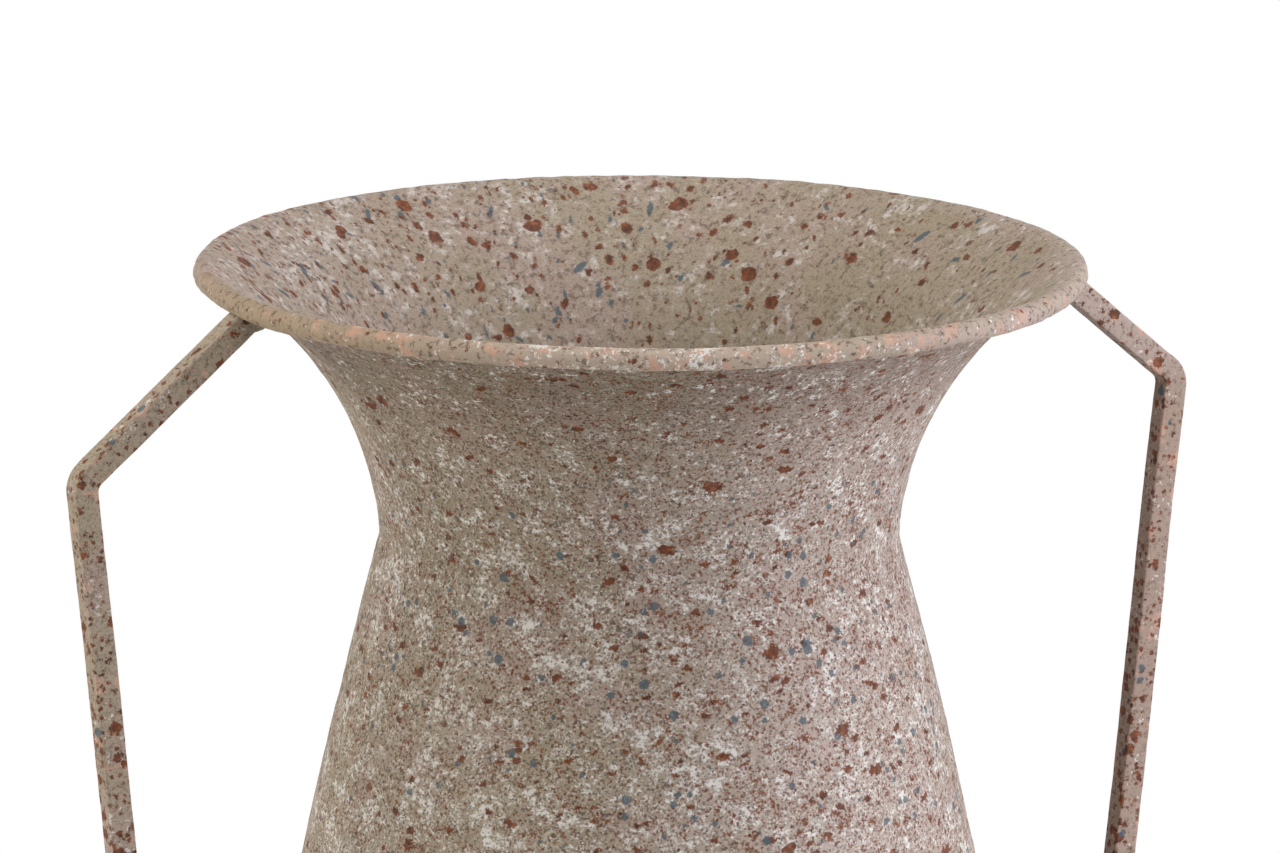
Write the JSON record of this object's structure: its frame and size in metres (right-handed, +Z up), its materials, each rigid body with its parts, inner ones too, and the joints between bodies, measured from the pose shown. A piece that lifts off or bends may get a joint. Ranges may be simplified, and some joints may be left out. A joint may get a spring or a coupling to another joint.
{
  "type": "urn vase",
  "caption": "Tall sheet-iron urn vase with a flared, wired lip, a creased neck, a full belly and slim square-bar side handles, in a speckled stone-look paint.",
  "frame": {"origin": "centre of the base's underside", "axes": "+Z up along the vase's axis, X through both handles"},
  "size_m": [0.3156, 0.228, 0.45],
  "materials": {
    "wall_paint": "matte, speckled in rust, white, grey and blue-grey",
    "handle_paint": "matte, with rust flecks",
    "base_paint": "matte, thinly speckled",
    "wire_steel": "drawn wire"
  },
  "bodies": {
    "root": {"mouth_flare": "wall_paint", "upper_body": "wall_paint", "lower_body": "wall_paint", "base_disc": "base_paint", "rim_wire": "wire_steel", "neck_seam": "wall_paint", "belly_seam": "wall_paint", "base_seam": "wall_paint", "handle_left": "handle_paint", "handle_right": "handle_paint", "handle_left_top_weld": "handle_paint", "handle_right_top_weld": "handle_paint", "handle_left_foot_weld": "handle_paint", "handle_right_foot_weld": "handle_paint"}
  },
  "joints": []
}
